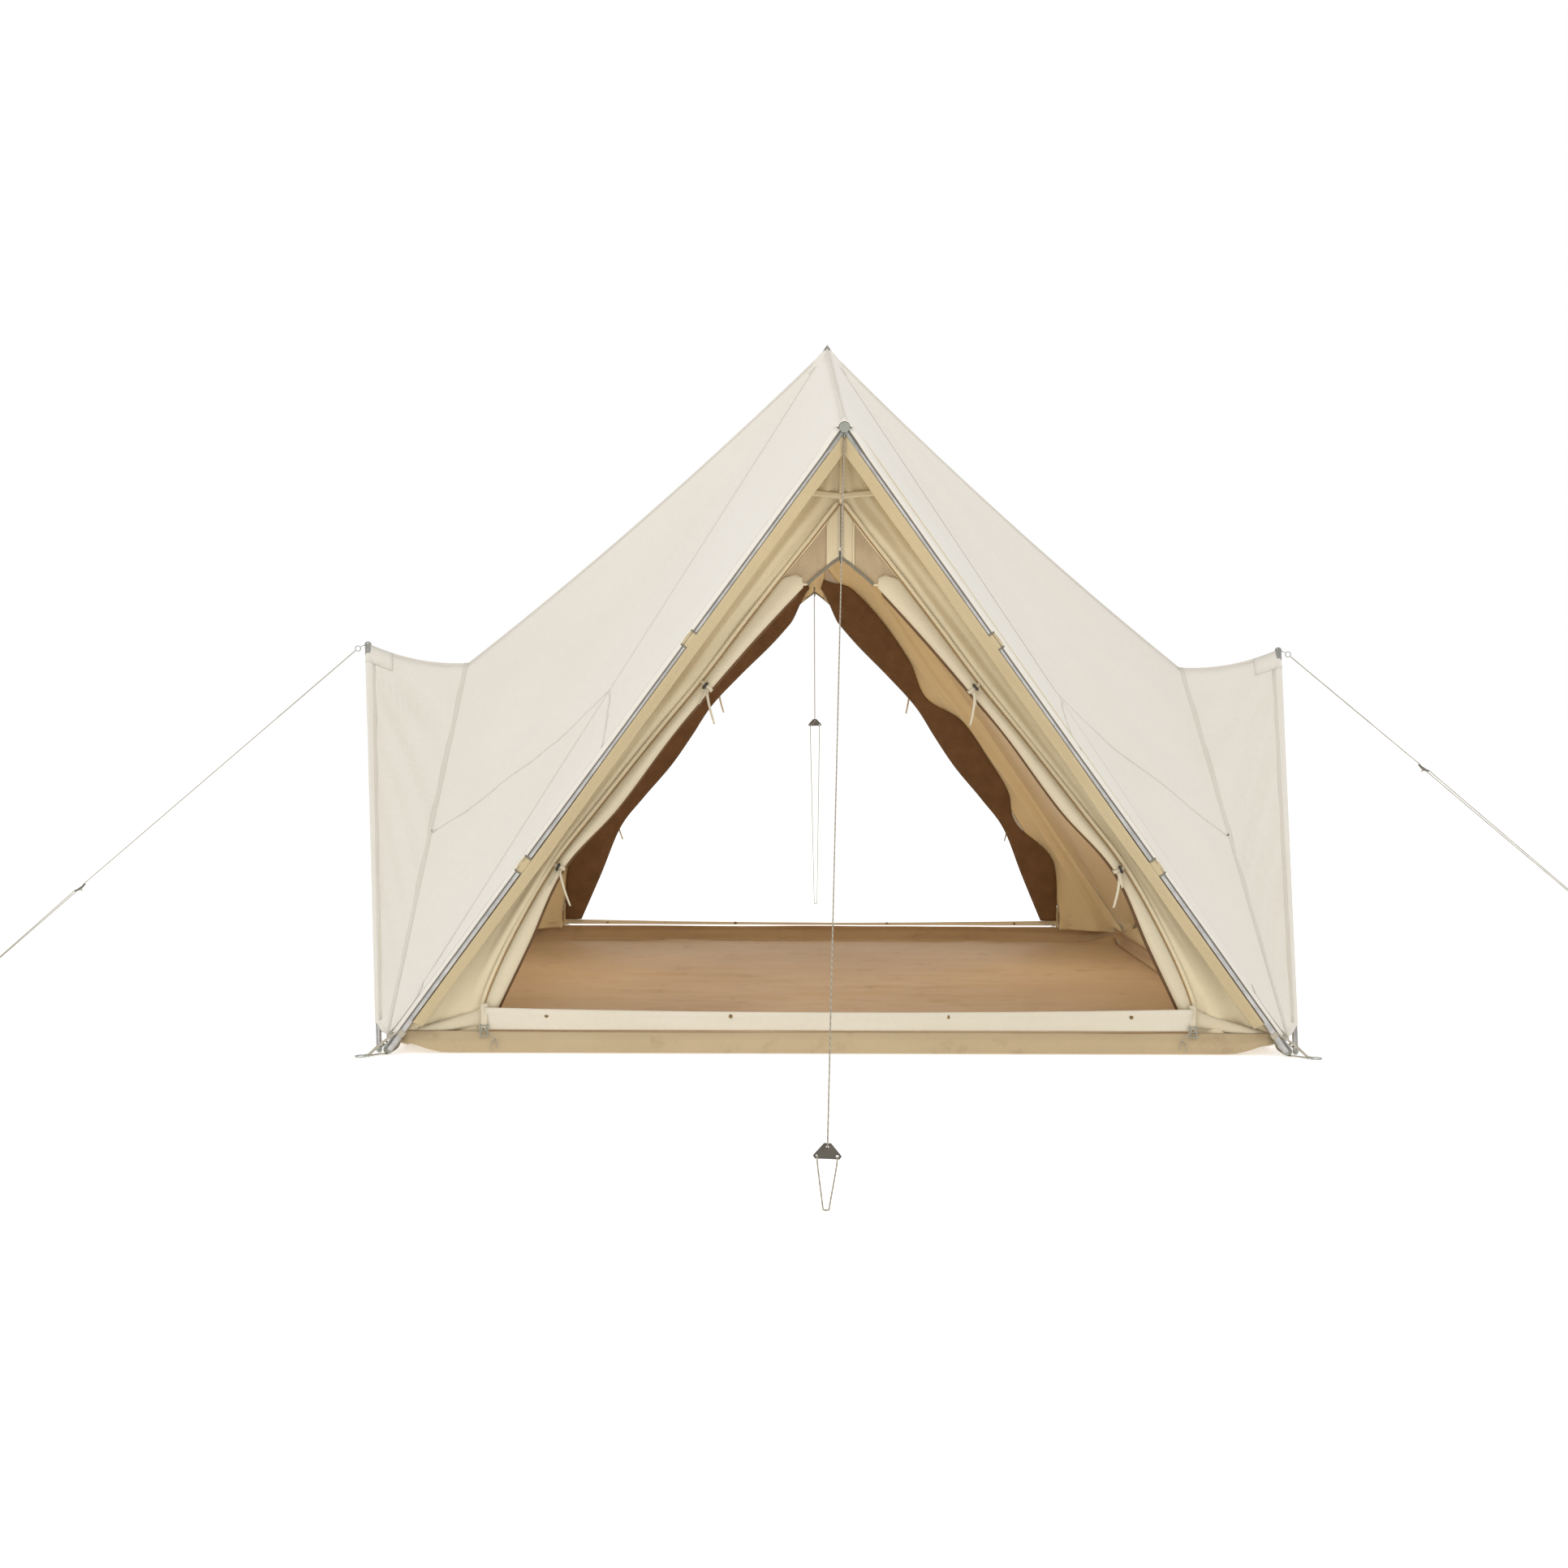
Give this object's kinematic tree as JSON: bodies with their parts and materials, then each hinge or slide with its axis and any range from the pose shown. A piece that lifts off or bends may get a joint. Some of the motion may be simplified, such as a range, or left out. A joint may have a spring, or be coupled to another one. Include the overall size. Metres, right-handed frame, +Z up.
{
  "type": "bell tent",
  "caption": "Canvas bell tent on A-frame poles with an arched ridge, outward side wings, rolled doors, net rolls, tub groundsheet, corner peg rings and plate-tensioned guy lines.",
  "frame": {"origin": "centre of the floor, on the ground, between the two A-frames", "axes": "+X towards the right side wing, +Y from the front doorway to the rear one, +Z up"},
  "size_m": [7.304, 6.698, 2.698],
  "materials": {
    "canvas": "woven cotton blend, matt, slightly soft folds",
    "sill_fabric": "woven canvas band",
    "ground_fabric": "coated groundsheet cloth, tan, faint creases",
    "mesh": "fine insect net",
    "aluminium_tube": "anodised tube, satin",
    "steel_fittings": "bright zinc and brushed steel",
    "grey_plastic": "matt grey green moulding",
    "webbing": "flat woven tape",
    "dark_toggles": "dark moulded toggle",
    "dark_metal": "dark bronze grey plate, satin",
    "guy_cord": "braided cord",
    "zip_chain": "coil zip in canvas colour",
    "zip_metal": "plated slider and tab",
    "stud_metal": "darkened press stud"
  },
  "bodies": {
    "tent": {"corner_buckles": "steel_fittings", "corner_straps": "webbing", "door_roll_left": "canvas", "door_roll_right": "canvas", "gable_front": "canvas", "gable_rear": "canvas", "groundsheet": "ground_fabric", "guy_front": "guy_cord", "guy_left": "guy_cord", "guy_rear": "guy_cord", "guy_right": "guy_cord", "hub_caps": "grey_plastic", "hub_front": "steel_fittings", "hub_rear": "steel_fittings", "leg_lower_front_left": "aluminium_tube", "leg_lower_front_right": "aluminium_tube", "leg_lower_rear_left": "aluminium_tube", "leg_lower_rear_right": "aluminium_tube", "leg_upper_front_left": "aluminium_tube", "leg_upper_front_right": "aluminium_tube", "leg_upper_rear_left": "aluminium_tube", "leg_upper_rear_right": "aluminium_tube", "mesh_windows": "mesh", "net_rolls": "mesh", "peak_cap": "canvas", "pole_feet": "grey_plastic", "pole_flaps": "canvas", "press_studs": "stud_metal", "ridge_crown": "steel_fittings", "ridge_struts": "aluminium_tube", "roof_front_left": "canvas", "roof_front_right": "canvas", "roof_rear_left": "canvas", "roof_rear_right": "canvas", "side_elbows": "steel_fittings", "side_poles_left": "aluminium_tube", "side_poles_right": "aluminium_tube", "side_rings": "steel_fittings", "side_wall_left": "canvas", "side_wall_right": "canvas", "sill_bands": "sill_fabric", "tie_tapes": "webbing", "tie_toggles": "dark_toggles", "wing_front_left": "canvas", "wing_front_right": "canvas", "wing_rear_left": "canvas", "wing_rear_right": "canvas", "zip_chains": "zip_chain"},
    "zip_front": {"zip_slider_front": "zip_metal"},
    "zip_rear": {"zip_slider_rear": "zip_metal"},
    "pull_front": {"zip_pull_front": "zip_metal"},
    "pull_rear": {"zip_pull_rear": "zip_metal"},
    "plate_front": {"tensioner_front": "dark_metal"},
    "plate_rear": {"tensioner_rear": "dark_metal"},
    "plate_left": {"tensioner_left": "dark_metal"},
    "plate_right": {"tensioner_right": "dark_metal"},
    "ring_front_left": {"peg_ring_front_left": "steel_fittings"},
    "ring_front_right": {"peg_ring_front_right": "steel_fittings"},
    "ring_rear_left": {"peg_ring_rear_left": "steel_fittings"},
    "ring_rear_right": {"peg_ring_rear_right": "steel_fittings"}
  },
  "joints": [
    {"name": "zip_front_slide", "type": "slide", "parent": "tent", "child": "zip_front", "axis": [0, 0.1061, 0.9944], "range_m": [0, 0.18]},
    {"name": "zip_rear_slide", "type": "slide", "parent": "tent", "child": "zip_rear", "axis": [0, -0.1061, 0.9944], "range_m": [0, 0.18]},
    {"name": "zip_front_pull", "type": "hinge", "parent": "zip_front", "child": "pull_front", "pos_m": [0, -1.31651, 1.74829], "axis": [-1, 0, 0], "range_deg": [0, 80]},
    {"name": "zip_rear_pull", "type": "hinge", "parent": "zip_rear", "child": "pull_rear", "pos_m": [0, 1.31651, 1.74829], "axis": [1, 0, 0], "range_deg": [0, 80]},
    {"name": "tensioner_front_slide", "type": "slide", "parent": "tent", "child": "plate_front", "axis": [0.0441, 0.6913, 0.7212], "range_m": [-0.06, 0.5], "deforming": ["guy_front"]},
    {"name": "tensioner_rear_slide", "type": "slide", "parent": "tent", "child": "plate_rear", "axis": [-0.03, -0.604, 0.7964], "range_m": [-1, 0.6], "deforming": ["guy_rear"]},
    {"name": "tensioner_left_slide", "type": "slide", "parent": "tent", "child": "plate_left", "axis": [0.7552, 0, 0.6554], "range_m": [-0.45, 0.8], "deforming": ["guy_left"]},
    {"name": "tensioner_right_slide", "type": "slide", "parent": "tent", "child": "plate_right", "axis": [-0.7742, 0, 0.633], "range_m": [-1.1, 0.5], "deforming": ["guy_right"]},
    {"name": "peg_ring_front_left_swing", "type": "hinge", "parent": "tent", "child": "ring_front_left", "pos_m": [-1.62543, -1.58288, 0.0049], "axis": [-0.6585, 0.7526, 0], "range_deg": [0, 90]},
    {"name": "peg_ring_front_right_swing", "type": "hinge", "parent": "tent", "child": "ring_front_right", "pos_m": [1.62543, -1.58288, 0.0049], "axis": [-0.6585, -0.7526, 0], "range_deg": [0, 90]},
    {"name": "peg_ring_rear_left_swing", "type": "hinge", "parent": "tent", "child": "ring_rear_left", "pos_m": [-1.62543, 1.58288, 0.0049], "axis": [0.6585, 0.7526, 0], "range_deg": [0, 90]},
    {"name": "peg_ring_rear_right_swing", "type": "hinge", "parent": "tent", "child": "ring_rear_right", "pos_m": [1.62543, 1.58288, 0.0049], "axis": [0.6585, -0.7526, 0], "range_deg": [0, 90]}
  ]
}
